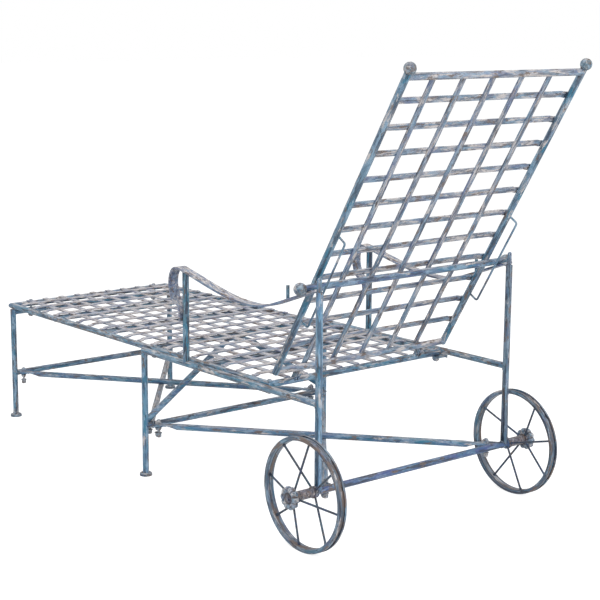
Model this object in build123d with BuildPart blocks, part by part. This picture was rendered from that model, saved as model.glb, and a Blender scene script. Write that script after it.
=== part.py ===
from build123d import *
import os
from math import atan2, cos, degrees, radians, sin

# Reclining sun lounger. A welded tube frame carries a strap lattice seat, and a hinged strap
# lattice back leans on a loose bar that lies on two curled strap arms. Two spoked wheels run
# on stub axles at the head end. X runs from the foot end to the head end, and the sitter's
# left is at -Y. All sizes are in millimetres.

os.makedirs("parts", exist_ok=True)

# ---- Stock and fits
tube_d = 16.0
tube_wall = 1.5
strap_w = 15.0
strap_t = 3.0
plate_t = 3.0
weld_gap = 0.05         # left between a shaped end and what it is welded or pushed on to
run_gap = 0.3           # between pieces that move past each other
bore_gap = 0.05         # radial clearance of a running fit

# ---- Frame, measured from the foot legs and from the floor
leg_y = 297.0           # mid legs, side rails, arm posts and rear posts, from the middle plane
panel_gap = 13.0        # free space between the side rails and the seat panel
foot_step = 5.0         # the foot legs stand this far outside the seat panel's edge tubes
seat_z = 326.0
wheel_r = 130.0
mid_leg_setback = 9.5   # mid legs behind the cross tube that the inverted V carries
glide_r = 16.0
glide_h = 8.0

# ---- Seat panel
seat_rows = 20
seat_cols = 10
row_pitch = 60.0
rows_per_tube = 4
vee_row = 12
seat_overhang = 13.0    # foot tube in front of the foot legs

# ---- Backrest
back_rows = 12
back_cols = 6
back_pitch = 66.0
back_angle = 58.8       # above the floor, in its lowest position
back_inset = 1.0        # back rails inside the seat panel's edge tubes
hinge_span = 41.0       # seat rear tube to back bottom tube
hinge_tilt = 56.5
hinge_y = 195.0
hinge_pin_r = 3.0
lug_r = 7.5
eye_t = 5.0
lug_t = 3.0
finial_r = 13.5
finial_sink = 2.0       # depth of the flat that seats a finial on its rail

# ---- Prop bar and arms
bar_rise = 252.0        # bar above the seat tubes
bar_setback = 35.0      # rear posts behind the bar
bar_ball_r = 14.5
bar_ball_sink = 2.5
loop_wire = 5.0
loop_stand = 33.0       # loop wire behind the middle of its rail
loop_up = 131.0         # loop ends above and below the bar
loop_down = 105.0
loop_bend = 6.0
arm_w = 26.0
arm_t = 5.0
arm_slope = 19.8
arm_reach = 496.5       # rear posts behind the arm posts
arm_low = 265.0         # lowest point of the arm behind the arm posts
arm_low_rise = 186.0
arm_front_rise = 230.0
arm_pad = 10.0          # half length of the flat over each arm post
arm_pad_slope = 12.5
scroll_reach = 52.0
scroll_drop = 126.0
peg_setback = 108.0
peg_r = 4.0
peg_h = 31.0
tongue_w = 11.0
tongue_rise = 27.0      # tongue tip above the bar's middle

# ---- Braces and bolts
flat_t = 3.2            # pressed flat end of a tube
flat_r = 11.7
flat_len = 22.0
flare_len = 26.0
tab_r = 11.0
bolt_r = 3.0
head_r = 6.0
head_h = 4.0
nut_h = 9.0
bolt_drop = 29.0        # bolt tips below the low bars' middle
bolt_dx = 21.0
foot_bolt_dy = 17.0
mid_bolt_dy = 27.0
rear_bolt_dy = 40.0
vee_foot_rise = 11.0
vee_flat = 28.0
bracket_len = 34.0
bracket_dx = 4.0

# ---- Wheels
wheel_offset = 38.5     # middle of the rim outside the rear posts' middle
rim_w = 21.0
rim_t = 10.0
groove_w = 9.0
groove_t = 3.0
spoke_d = 5.0
spoke_count = 8
spoke_start = -8.0
right_wheel_turn = -24.0  # the right wheel stands this far round from the left one
axle_r = 5.5
washer_t = 2.0
washer_r = 9.5
hub_r = 11.0
hub_len = 62.0
collar_r = 13.5
collar_w = 6.0
rosette_r = 27.0
rosette_t = 16.0
petals = 10
petal_r = 6.0
recess_r = 10.0
recess_t = 6.0

# ---- Derived places
tube_r = tube_d / 2
bore_r = tube_r - tube_wall
cope_r = tube_r + weld_gap
low_z = wheel_r
seat_half = leg_y - tube_d - panel_gap
foot_y = seat_half + foot_step
back_half = seat_half - back_inset
seat_len = seat_rows * row_pitch
back_len = back_rows * back_pitch
seat_start = -seat_overhang
seat_end = seat_start + seat_len
vee_x = seat_start + vee_row * row_pitch
mid_leg_x = vee_x + mid_leg_setback
foot_bar_z = seat_z - tube_d
seat_under = seat_z - tube_r

lean = radians(back_angle)
tilt = radians(hinge_tilt)
back_x = seat_end + hinge_span * cos(tilt)
back_z = seat_z + hinge_span * sin(tilt)
pivot_x = (seat_end + back_x) / 2
pivot_z = (seat_z + back_z) / 2

# The bar lies behind the back rails and on top of the arms
bar_depth = tube_d + run_gap
bar_z = seat_z + bar_rise
bar_s = (bar_z - back_z + bar_depth * cos(lean)) / sin(lean)
bar_x = back_x + bar_s * cos(lean) + bar_depth * sin(lean)
rear_post_x = bar_x + bar_setback
arm_post_x = rear_post_x - arm_reach
peg_x = rear_post_x - peg_setback

# The model's middle is halfway between the foot tube and the finials
finial_s = back_len + tube_r + finial_r - finial_sink
first_x = seat_start - tube_r
last_x = back_x + finial_s * cos(lean) + finial_r
centre_x = (first_x + last_x) / 2


def at(x, y, z):
    """Point from its distance behind the foot legs, its side and its height."""
    return Vector(x - centre_x, y, z)


seat = Plane(origin=at(seat_start, 0, seat_z), x_dir=(1, 0, 0), z_dir=(0, 0, 1))
back = Plane(origin=at(back_x, 0, back_z), x_dir=(cos(lean), 0, sin(lean)), z_dir=(-sin(lean), 0, cos(lean)))


def on(panel, s, y, n=0.0):
    """Point of a panel from its distance along it, its side and its height above the tubes."""
    return panel.from_local_coords(Vector(s, y, n))


def rod(a, b, radius, mode=Mode.ADD):
    """Round bar from a to b in the part being built."""
    run = b - a
    with BuildSketch(Plane(origin=a, z_dir=run)) as section:
        Circle(radius)
    extrude(section.sketch, amount=run.length, mode=mode)


def strip(a, b, width):
    """Round-ended strip between two points of the sketch being drawn."""
    run = b - a
    with Locations((a + b) / 2):
        SlotCenterToCenter(run.length, width, rotation=degrees(atan2(run.Y, run.X)))


def mitre(corner, along, away):
    """Cut the part being built at a corner, keeping the side that runs along."""
    split(bisect_by=Plane(origin=corner, z_dir=Vector(along) - Vector(away)), keep=Keep.TOP)


def knob(seat_at, axis, radius, sink):
    """Ball with a flat that sits on a tube's end, and a plug for its bore."""
    with Locations(seat_at + axis * (radius - sink)):
        Sphere(radius)
    split(bisect_by=Plane(origin=seat_at, z_dir=axis), keep=Keep.TOP)
    rod(seat_at - axis * tube_r, seat_at + axis, bore_r - weld_gap)


def bolt(x, y, top, tip):
    """Domed bolt with a cap nut near its tip."""
    head = at(x, y, top)
    rod(at(x, y, tip), head, bolt_r)
    with BuildSketch(Plane(origin=head)) as dome:
        Circle(head_r)
    extrude(dome.sketch, amount=head_h, taper=25)
    with BuildSketch(Plane(origin=at(x, y, tip))) as nut:
        RegularPolygon(head_r, 6)
    extrude(nut.sketch, amount=nut_h)


# ---------------------------------------------------------------- foot frame
leg_top = seat_under - weld_gap

with BuildPart() as foot_leg_left:
    rod(at(0, -foot_y, glide_h), at(0, -foot_y, leg_top), tube_r)
    rod(at(0, -foot_y, glide_h), at(0, -foot_y, leg_top - tube_wall), bore_r, Mode.SUBTRACT)

with BuildPart() as foot_leg_right:
    mirror(foot_leg_left.part, about=Plane.XZ)

with BuildPart() as foot_top_bar:
    rod(at(0, -foot_y, foot_bar_z), at(0, foot_y, foot_bar_z), tube_r)
    for side in (-1, 1):
        rod(at(0, side * foot_y, 0), at(0, side * foot_y, seat_z), cope_r, Mode.SUBTRACT)
    rod(at(0, -foot_y, foot_bar_z), at(0, foot_y, foot_bar_z), bore_r, Mode.SUBTRACT)
    for side in (-1, 1):
        bolt_y = side * (seat_half - 2 * seat_half / seat_cols)
        rod(at(0, bolt_y, 0), at(0, bolt_y, seat_z), bolt_r + weld_gap, Mode.SUBTRACT)


def low_bar(x, half, tab_at):
    """Bar between two legs at axle height, with a bolt tab for each brace end."""
    with BuildSketch(Plane(origin=(0, 0, low_z - plate_t / 2))) as tabs:
        for dx, dy in tab_at:
            for side in (-1, 1):
                strip(at(x, side * half, 0), at(x + dx, side * (half - dy), 0), 2 * tab_r)
    extrude(tabs.sketch, amount=plate_t)
    rod(at(x, -half, low_z), at(x, half, low_z), tube_r)
    for side in (-1, 1):
        rod(at(x, side * half, 0), at(x, side * half, seat_z), cope_r, Mode.SUBTRACT)
        with Locations(at(x, side * (half + tube_d), low_z)):
            Box(8 * tube_d, 2 * tube_d, 2 * tube_d, mode=Mode.SUBTRACT)
        for dx, dy in tab_at:
            hole = at(x + dx, side * (half - dy), 0)
            rod(hole, hole + Vector(0, 0, seat_z), bolt_r + weld_gap, Mode.SUBTRACT)
    rod(at(x, -half, low_z), at(x, half, low_z), bore_r, Mode.SUBTRACT)


with BuildPart() as foot_low_bar:
    low_bar(0, foot_y, [(bolt_dx, foot_bolt_dy)])


def glide(x, y):
    """Round foot with a plug that fits a leg's bore."""
    foot = at(x, y, 0)
    rod(foot, foot + Vector(0, 0, glide_h), glide_r)
    fillet(edges().filter_by(GeomType.CIRCLE).sort_by(Axis.Z)[-1], glide_h / 2)
    rod(foot, foot + Vector(0, 0, glide_h + tube_d), bore_r - weld_gap)


with BuildPart() as foot_glide_left:
    glide(0, -foot_y)

with BuildPart() as foot_glide_right:
    glide(0, foot_y)

# ---------------------------------------------------------------- middle frame
def mid_leg(side):
    """Leg mitred to its side rail, with a bracket under the seat panel's edge tube."""
    foot = at(mid_leg_x, side * leg_y, glide_h)
    corner = at(mid_leg_x, side * leg_y, seat_z)
    hole = at(mid_leg_x + bracket_dx, side * seat_half, seat_under)
    rod(foot, corner + Vector(0, 0, tube_r), tube_r)
    mitre(corner, (0, 0, -1), (1, 0, 0))
    with BuildSketch(Plane(origin=(0, 0, seat_under - plate_t))) as bracket:
        strip(corner - Vector(0, 0, seat_z), hole - Vector(0, 0, seat_under), 2 * tab_r)
    extrude(bracket.sketch, amount=plate_t)
    rod(foot, corner + Vector(0, 0, tube_r), bore_r, Mode.SUBTRACT)
    rod(hole - Vector(0, 0, tube_d), hole + Vector(0, 0, tube_r), bolt_r + weld_gap, Mode.SUBTRACT)


with BuildPart() as mid_leg_left:
    mid_leg(-1)

with BuildPart() as mid_leg_right:
    mid_leg(1)

with BuildPart() as mid_low_bar:
    low_bar(mid_leg_x, leg_y, [(-bolt_dx, mid_bolt_dy), (bolt_dx, mid_bolt_dy)])

with BuildPart() as mid_glide_left:
    glide(mid_leg_x, -leg_y)

with BuildPart() as mid_glide_right:
    glide(mid_leg_x, leg_y)

# One tube bent to an inverted V and pressed flat where it bolts under the seat panel
with BuildPart() as vee_brace:
    flat_z = seat_under - flat_t / 2
    for side in (-1, 1):
        low = at(mid_leg_x, side * leg_y, low_z + vee_foot_rise)
        high = at(vee_x, side * vee_flat, flat_z)
        climb = (high - low).normalized()
        neck = high - climb * flare_len
        rod(low, neck, tube_r)
        with BuildSketch(Plane(origin=neck, x_dir=(1, 0, 0), z_dir=climb)) as round_end:
            Circle(tube_r)
        with BuildSketch(Plane(origin=high, x_dir=(1, 0, 0), z_dir=(0, -side, 0))) as flat_end:
            Ellipse(flat_r, flat_t / 2)
        loft([round_end.sketch.face(), flat_end.sketch.face()])
        rod(low, neck, bore_r, Mode.SUBTRACT)
        rod(at(mid_leg_x, side * leg_y, 0), at(mid_leg_x, side * leg_y, seat_z), cope_r, Mode.SUBTRACT)
    with BuildSketch(Plane(origin=at(vee_x, 0, seat_under - flat_t))) as flat:
        Rectangle(2 * flat_r, 2 * vee_flat)
    extrude(flat.sketch, amount=flat_t)
    rod(at(vee_x, 0, 0), at(vee_x, 0, seat_z), bolt_r + weld_gap, Mode.SUBTRACT)
    rod(at(mid_leg_x, -leg_y, low_z), at(mid_leg_x, leg_y, low_z), cope_r, Mode.SUBTRACT)

# ---------------------------------------------------------------- side rails and rear posts
def side_rail(side):
    """Rail from a mid leg to a rear post, with an angle bracket under the seat panel's corner."""
    front = at(mid_leg_x - tube_r, side * leg_y, seat_z)
    rear = at(rear_post_x, side * leg_y, seat_z)
    hole = at(seat_end, side * seat_half, seat_under)
    rod(front, rear, tube_r)
    mitre(front + Vector(tube_r, 0, 0), (1, 0, 0), (0, 0, -1))
    with BuildSketch(Plane.YZ.offset(hole.X - bracket_len / 2)) as angle:
        with Locations((side * (leg_y - tube_r + seat_half - tab_r) / 2, seat_under - plate_t / 2)):
            Rectangle(panel_gap + tube_r + tab_r, plate_t)
        with Locations((side * (leg_y - tube_r), seat_under + plate_t / 2)):
            Rectangle(plate_t / 2, tube_r + 2 * plate_t)
    extrude(angle.sketch, amount=bracket_len)
    rod(rear - Vector(0, 0, tube_d), rear + Vector(0, 0, tube_d), cope_r, Mode.SUBTRACT)
    rod(front, rear, bore_r, Mode.SUBTRACT)
    rod(hole - Vector(0, 0, tube_d), hole + Vector(0, 0, tube_r), bolt_r + weld_gap, Mode.SUBTRACT)


with BuildPart() as side_rail_left:
    side_rail(-1)

with BuildPart() as side_rail_right:
    side_rail(1)

# The arm's straight rear end passes just under the bar
slope = radians(arm_slope)
arm_dir = Vector(cos(slope), sin(slope))
arm_up = Vector(-sin(slope), cos(slope))
bar_seat = Vector(at(bar_x, 0, 0).X, bar_z) - arm_up * (tube_r + run_gap + arm_t / 2)


def arm_at(x):
    """Middle of the arm strap's straight rear end at a distance behind the foot legs."""
    return bar_seat + arm_dir * ((x - centre_x - bar_seat.X) / arm_dir.X)


def rear_post(side):
    """Post with a cross hole for the stub axle and a flat tongue behind the bar."""
    y = side * leg_y
    foot = low_z - tube_r - 2 * plate_t
    top = arm_at(rear_post_x - tube_r).Y - arm_t / 2 / cos(slope) - weld_gap
    rod(at(rear_post_x, y, foot), at(rear_post_x, y, top), tube_r)
    rod(at(rear_post_x, y, foot), at(rear_post_x, y, top - plate_t), bore_r, Mode.SUBTRACT)
    axle = at(rear_post_x, y, low_z)
    rod(axle - Vector(0, tube_r, 0), axle + Vector(0, tube_r, 0), axle_r + weld_gap, Mode.SUBTRACT)
    with BuildSketch(Plane.YZ.offset(axle.X - plate_t / 2)) as tongue:
        tip = Vector(y, bar_z + tongue_rise - tongue_w / 2)
        with Locations((y, (top - plate_t + tip.Y) / 2)):
            Rectangle(tongue_w, tip.Y - top + plate_t)
        with Locations(tip):
            Circle(tongue_w / 2)
            Circle(tongue_w / 5, mode=Mode.SUBTRACT)
    extrude(tongue.sketch, amount=plate_t)


with BuildPart() as rear_post_left:
    rear_post(-1)

with BuildPart() as rear_post_right:
    rear_post(1)

with BuildPart() as axle_bar:
    low_bar(rear_post_x, leg_y, [(-bolt_dx, rear_bolt_dy)])

# ---------------------------------------------------------------- arms
pad_slope = radians(arm_pad_slope)
pad_dir = Vector(cos(pad_slope), -sin(pad_slope))
pad_up = Vector(sin(pad_slope), cos(pad_slope))
pad = Vector(at(arm_post_x, 0, 0).X, seat_z + arm_front_rise)
arm_inside = leg_y - arm_w / 2

with BuildPart() as armrest_left:
    rear_end = arm_at(rear_post_x - plate_t / 2 - arm_t / 2 * sin(slope) - weld_gap)
    bend = arm_at(peg_x - 2 * peg_r)
    low_point = Vector(pad.X + arm_low, seat_z + arm_low_rise)
    pad_rear = pad + pad_dir * arm_pad
    pad_front = pad - pad_dir * arm_pad
    curl_end = Vector(pad.X - tube_r - weld_gap - arm_t / 2, pad.Y - scroll_drop)
    with BuildSketch(Plane.XZ.offset(arm_inside)) as strap:
        with BuildLine():
            Line(rear_end, bend)
            Spline(bend, low_point, pad_rear, tangents=[-arm_dir, (-1, 0), -pad_dir])
            Line(pad_rear, pad_front)
            Spline(
                pad_front,
                pad + Vector(-scroll_reach, -0.34 * scroll_drop),
                pad + Vector(-0.62 * scroll_reach, -0.66 * scroll_drop),
                curl_end,
                tangents=[-pad_dir, (0, -1)],
            )
        trace(line_width=arm_t)
    extrude(strap.sketch, amount=arm_w)

with BuildPart() as armrest_right:
    mirror(armrest_left.part, about=Plane.XZ)

# Pegs that hold the bar in the more upright place
with BuildPart() as stop_pegs:
    peg = arm_at(peg_x)
    peg_top = peg.Y + arm_t / 2 + peg_h
    for side in (-1, 1):
        rod(Vector(peg.X, side * leg_y, peg.Y), Vector(peg.X, side * leg_y, peg_top), peg_r)
    peg_seat = peg + arm_up * (arm_t / 2 + weld_gap)
    split(bisect_by=Plane(origin=(peg_seat.X, 0, peg_seat.Y), z_dir=(arm_up.X, 0, arm_up.Y)), keep=Keep.TOP)


def arm_post(side):
    """Post from a side rail up to the flat of its armrest."""
    foot = at(arm_post_x, side * leg_y, seat_z)
    head = foot + Vector(0, 0, arm_front_rise)
    under = head - Vector(pad_up.X, 0, pad_up.Y) * (arm_t / 2 + weld_gap)
    rod(foot, head, tube_r)
    split(bisect_by=Plane(origin=under, z_dir=(-pad_up.X, 0, -pad_up.Y)), keep=Keep.TOP)
    rod(foot - Vector(tube_d, 0, 0), foot + Vector(tube_d, 0, 0), cope_r, Mode.SUBTRACT)
    rod(foot, head, bore_r, Mode.SUBTRACT)


with BuildPart() as arm_post_left:
    arm_post(-1)

with BuildPart() as arm_post_right:
    arm_post(1)


# ---------------------------------------------------------------- braces
def brace(start, finish, above):
    """Diagonal tube with pressed flat ends: level with the bars and bolted above the tabs, or
    bolted below them and low enough to pass under the other brace."""
    run = (finish - start).normalized()
    across = Vector(-run.Y, run.X, 0)
    flat_mid = (plate_t + flat_t) / 2 * above
    round_mid = 0 if above > 0 else -tube_d - run_gap
    centre = Vector(0, 0, low_z + round_mid)
    level = Vector(0, 0, low_z + flat_mid)
    for end, inward in ((start, run), (finish, -run)):
        neck = end + inward * flat_len
        root = neck + inward * flare_len
        with BuildSketch(Plane(origin=level - Vector(0, 0, flat_t / 2))) as tongue:
            strip(end, neck, 2 * flat_r)
            with Locations(neck + inward * flat_r):
                Rectangle(2 * flat_r, 4 * flat_r, rotation=degrees(atan2(run.Y, run.X)), mode=Mode.SUBTRACT)
            with Locations(end):
                Circle(bolt_r + weld_gap, mode=Mode.SUBTRACT)
        extrude(tongue.sketch, amount=flat_t)
        with BuildSketch(Plane(origin=neck + level, x_dir=across, z_dir=run)) as flat_end:
            Ellipse(flat_r, flat_t / 2)
        with BuildSketch(Plane(origin=root + centre, x_dir=across, z_dir=run)) as round_end:
            Circle(tube_r)
        loft([flat_end.sketch.face(), round_end.sketch.face()])
    root_in = flat_len + flare_len
    rod(start + centre + run * root_in, finish + centre - run * root_in, tube_r)
    rod(
        start + centre + run * (root_in + tube_wall),
        finish + centre - run * (root_in + tube_wall),
        bore_r,
        Mode.SUBTRACT,
    )


foot_bolt = (bolt_dx, foot_y - foot_bolt_dy)
mid_bolt_front = (mid_leg_x - bolt_dx, leg_y - mid_bolt_dy)
mid_bolt_back = (mid_leg_x + bolt_dx, leg_y - mid_bolt_dy)
rear_bolt = (rear_post_x - bolt_dx, leg_y - rear_bolt_dy)

with BuildPart() as foot_brace_upper:
    brace(at(foot_bolt[0], -foot_bolt[1], 0), at(mid_bolt_front[0], mid_bolt_front[1], 0), 1)

with BuildPart() as foot_brace_lower:
    brace(at(foot_bolt[0], foot_bolt[1], 0), at(mid_bolt_front[0], -mid_bolt_front[1], 0), -1)

with BuildPart() as rear_brace_upper:
    brace(at(mid_bolt_back[0], -mid_bolt_back[1], 0), at(rear_bolt[0], rear_bolt[1], 0), 1)

with BuildPart() as rear_brace_lower:
    brace(at(mid_bolt_back[0], mid_bolt_back[1], 0), at(rear_bolt[0], -rear_bolt[1], 0), -1)

with BuildPart() as brace_bolts:
    over = low_z + plate_t / 2
    bolt_tip = low_z - bolt_drop
    bolt(foot_bolt[0], -foot_bolt[1], over + flat_t, bolt_tip)
    bolt(foot_bolt[0], foot_bolt[1], over, bolt_tip)
    bolt(mid_bolt_front[0], mid_bolt_front[1], over + flat_t, bolt_tip)
    bolt(mid_bolt_front[0], -mid_bolt_front[1], over, bolt_tip)
    bolt(mid_bolt_back[0], -mid_bolt_back[1], over + flat_t, bolt_tip)
    bolt(mid_bolt_back[0], mid_bolt_back[1], over, bolt_tip)
    bolt(rear_bolt[0], rear_bolt[1], over + flat_t, bolt_tip)
    bolt(rear_bolt[0], -rear_bolt[1], over, bolt_tip)

# ---------------------------------------------------------------- seat panel
with BuildPart() as seat_rail_left:
    rod(on(seat, -tube_r, -seat_half), on(seat, seat_len + tube_r, -seat_half), tube_r)
    mitre(on(seat, 0, -seat_half), (1, 0, 0), (0, 1, 0))
    mitre(on(seat, seat_len, -seat_half), (-1, 0, 0), (0, 1, 0))
    rod(on(seat, -tube_r, -seat_half), on(seat, seat_len + tube_r, -seat_half), bore_r, Mode.SUBTRACT)
    for hole_x in (mid_leg_x + bracket_dx, seat_end):
        hole = at(hole_x, -seat_half, 0)
        rod(hole, hole + Vector(0, 0, 2 * seat_z), bolt_r + weld_gap, Mode.SUBTRACT)

with BuildPart() as seat_rail_right:
    mirror(seat_rail_left.part, about=Plane.XZ)

with BuildPart() as seat_foot_tube:
    rod(on(seat, 0, -seat_half - tube_r), on(seat, 0, seat_half + tube_r), tube_r)
    mitre(on(seat, 0, -seat_half), (0, 1, 0), (1, 0, 0))
    mitre(on(seat, 0, seat_half), (0, -1, 0), (1, 0, 0))
    rod(on(seat, 0, -seat_half - tube_r), on(seat, 0, seat_half + tube_r), bore_r, Mode.SUBTRACT)

# The rear tube carries the hinge lugs, two each side
eye_gap = eye_t / 2 + run_gap
lug_faces = [hinge_y - eye_gap - lug_t, hinge_y + eye_gap]

with BuildPart() as seat_rear_tube:
    rod(on(seat, seat_len, -seat_half - tube_r), on(seat, seat_len, seat_half + tube_r), tube_r)
    mitre(on(seat, seat_len, -seat_half), (0, 1, 0), (-1, 0, 0))
    mitre(on(seat, seat_len, seat_half), (0, -1, 0), (-1, 0, 0))
    for face in lug_faces + [-y - lug_t for y in lug_faces]:
        with BuildSketch(Plane.XZ.offset(-face - lug_t)) as lug:
            pin_at = Vector(at(pivot_x, 0, 0).X, pivot_z)
            strip(Vector(at(seat_end, 0, 0).X, seat_z), pin_at, 2 * lug_r)
            with Locations(pin_at):
                Circle(hinge_pin_r + bore_gap, mode=Mode.SUBTRACT)
        extrude(lug.sketch, amount=lug_t)
    rod(on(seat, seat_len, -seat_half - tube_r), on(seat, seat_len, seat_half + tube_r), bore_r, Mode.SUBTRACT)
    for side in (-1, 1):
        hole = at(seat_end, side * seat_half, 0)
        rod(hole, hole + Vector(0, 0, 2 * seat_z), bolt_r + weld_gap, Mode.SUBTRACT)

with BuildPart() as seat_cross_tubes:
    for row in range(rows_per_tube, seat_rows, rows_per_tube):
        rod(on(seat, row * row_pitch, -seat_half), on(seat, row * row_pitch, seat_half), tube_r)
    for side in (-1, 1):
        rod(on(seat, 0, side * seat_half), on(seat, seat_len, side * seat_half), cope_r, Mode.SUBTRACT)
    for row in range(rows_per_tube, seat_rows, rows_per_tube):
        rod(on(seat, row * row_pitch, -seat_half), on(seat, row * row_pitch, seat_half), bore_r, Mode.SUBTRACT)
    rod(at(vee_x, 0, 0), at(vee_x, 0, seat_z), bolt_r + weld_gap, Mode.SUBTRACT)


def long_straps(panel, length, half, count):
    """Lengthwise straps, laid on the panel's tubes."""
    with BuildSketch(panel.offset(tube_r)) as bands:
        for place in range(1, count):
            with Locations((length / 2, -half + place * 2 * half / count)):
                Rectangle(length, strap_w)
    extrude(bands.sketch, amount=strap_t)


def cross_straps(panel, pitch, half, count):
    """Crosswise straps over the lengthwise ones, with ends set down on the edge tubes."""
    lap = tube_r
    ramp = strap_w / 2
    for row in range(1, count):
        origin = on(panel, row * pitch - strap_w / 2, 0, tube_r)
        with BuildSketch(Plane(origin=origin, x_dir=(0, 1, 0), z_dir=panel.x_dir)) as band:
            with BuildLine():
                Polyline(
                    (-half, strap_t),
                    (-half, 0),
                    (-half + lap, 0),
                    (-half + lap + ramp, strap_t),
                    (half - lap - ramp, strap_t),
                    (half - lap, 0),
                    (half, 0),
                    (half, strap_t),
                    (half - lap, strap_t),
                    (half - lap - ramp, 2 * strap_t),
                    (-half + lap + ramp, 2 * strap_t),
                    (-half + lap, strap_t),
                    close=True,
                )
            make_face()
        extrude(band.sketch, amount=strap_w)


with BuildPart() as seat_long_straps:
    long_straps(seat, seat_len, seat_half, seat_cols)
    for side in (-1, 1):
        bolt_y = side * (seat_half - 2 * seat_half / seat_cols)
        rod(at(0, bolt_y, 0), at(0, bolt_y, 2 * seat_z), bolt_r + weld_gap, Mode.SUBTRACT)

with BuildPart() as seat_cross_straps:
    cross_straps(seat, row_pitch, seat_half, seat_rows)

with BuildPart() as seat_bolts:
    strap_top = seat_z + tube_r + strap_t
    for side in (-1, 1):
        bolt(0, side * (seat_half - 2 * seat_half / seat_cols), strap_top, foot_bar_z - tube_r - nut_h)
        bolt(mid_leg_x + bracket_dx, side * seat_half, seat_z + tube_r, seat_under - plate_t - nut_h)
        bolt(seat_end, side * seat_half, seat_z + tube_r, seat_under - plate_t - nut_h)
    rod(at(vee_x, 0, seat_under - flat_t), at(vee_x, 0, seat_z), bolt_r)
    with BuildSketch(Plane(origin=at(vee_x, 0, seat_under - flat_t - head_h))) as vee_head:
        RegularPolygon(head_r, 6)
    extrude(vee_head.sketch, amount=head_h)

with BuildPart() as hinge_pins:
    pin_half = eye_gap + lug_t + weld_gap
    for side in (-1, 1):
        middle = at(pivot_x, side * hinge_y, pivot_z)
        reach = Vector(0, pin_half + lug_t / 2, 0)
        rod(middle - reach, middle + reach, lug_r - weld_gap)
        rod(middle - Vector(0, pin_half, 0), middle + Vector(0, pin_half, 0), 2 * lug_r, Mode.SUBTRACT)
        rod(middle - reach, middle + reach, hinge_pin_r)

# ---------------------------------------------------------------- backrest
with BuildPart() as back_rail_left:
    rod(on(back, -tube_r, -back_half), on(back, back_len + tube_r, -back_half), tube_r)
    fillet(edges().filter_by(GeomType.CIRCLE).sort_by(Axis.Z)[0], tube_r / 2)
    rod(on(back, 0, -back_half), on(back, back_len + tube_r, -back_half), bore_r, Mode.SUBTRACT)

with BuildPart() as back_rail_right:
    mirror(back_rail_left.part, about=Plane.XZ)


def back_tube(s):
    """Tube between the back rails."""
    rod(on(back, s, -back_half), on(back, s, back_half), tube_r)
    for side in (-1, 1):
        y = side * back_half
        rod(on(back, s - tube_d, y), on(back, s + tube_d, y), cope_r, Mode.SUBTRACT)


# The bottom tube carries the hinge eyes
with BuildPart() as back_bottom_tube:
    back_tube(0)
    for side in (-1, 1):
        with BuildSketch(Plane.XZ.offset(-side * hinge_y - eye_t / 2)) as eye:
            pin_at = Vector(at(pivot_x, 0, 0).X, pivot_z)
            strip(Vector(at(back_x, 0, 0).X, back_z), pin_at, 2 * lug_r)
            with Locations(pin_at):
                Circle(hinge_pin_r + bore_gap, mode=Mode.SUBTRACT)
        extrude(eye.sketch, amount=eye_t)
    rod(on(back, 0, -back_half), on(back, 0, back_half), bore_r, Mode.SUBTRACT)

with BuildPart() as back_top_tube:
    back_tube(back_len)
    rod(on(back, back_len, -back_half), on(back, back_len, back_half), bore_r, Mode.SUBTRACT)

with BuildPart() as back_long_straps:
    long_straps(back, back_len, back_half, back_cols)

with BuildPart() as back_cross_straps:
    cross_straps(back, back_pitch, back_half, back_rows)

with BuildPart() as finial_left:
    knob(on(back, back_len + tube_r, -back_half), back.x_dir, finial_r, finial_sink)

with BuildPart() as finial_right:
    mirror(finial_left.part, about=Plane.XZ)

# Bent wire behind each rail, in which the prop bar slides
with BuildPart() as slide_loop_left:
    loop_top = bar_s + loop_up
    loop_foot = bar_s - loop_down
    with BuildLine() as wire:
        FilletPolyline(
            on(back, loop_foot, -back_half, -bore_r),
            on(back, loop_foot, -back_half, -loop_stand),
            on(back, loop_top, -back_half, -loop_stand),
            on(back, loop_top, -back_half, -bore_r),
            radius=loop_bend,
        )
    with BuildSketch(Plane(origin=wire.line @ 0, z_dir=wire.line % 0)) as wire_end:
        Circle(loop_wire / 2)
    sweep(wire_end.sketch, path=wire.line)
    rod(on(back, 0, -back_half), on(back, back_len, -back_half), cope_r, Mode.SUBTRACT)

with BuildPart() as slide_loop_right:
    mirror(slide_loop_left.part, about=Plane.XZ)

# ---------------------------------------------------------------- prop bar
bar_half = leg_y + arm_w / 2 + run_gap

with BuildPart() as prop_bar:
    rod(at(bar_x, -bar_half, bar_z), at(bar_x, bar_half, bar_z), tube_r)
    rod(at(bar_x, -bar_half, bar_z), at(bar_x, bar_half, bar_z), bore_r, Mode.SUBTRACT)

with BuildPart() as bar_ball_left:
    knob(at(bar_x, -bar_half, bar_z), Vector(0, -1, 0), bar_ball_r, bar_ball_sink)

with BuildPart() as bar_ball_right:
    mirror(bar_ball_left.part, about=Plane.XZ)

# ---------------------------------------------------------------- wheels
hub_start = leg_y + tube_r + washer_t + run_gap
hub_end = hub_start + hub_len
rim_y = leg_y + wheel_offset
rim_inner = wheel_r - rim_t


def axle_at(out):
    """Point of the left wheel's axis at a distance from the middle plane."""
    return at(rear_post_x, -out, wheel_r)


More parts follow.
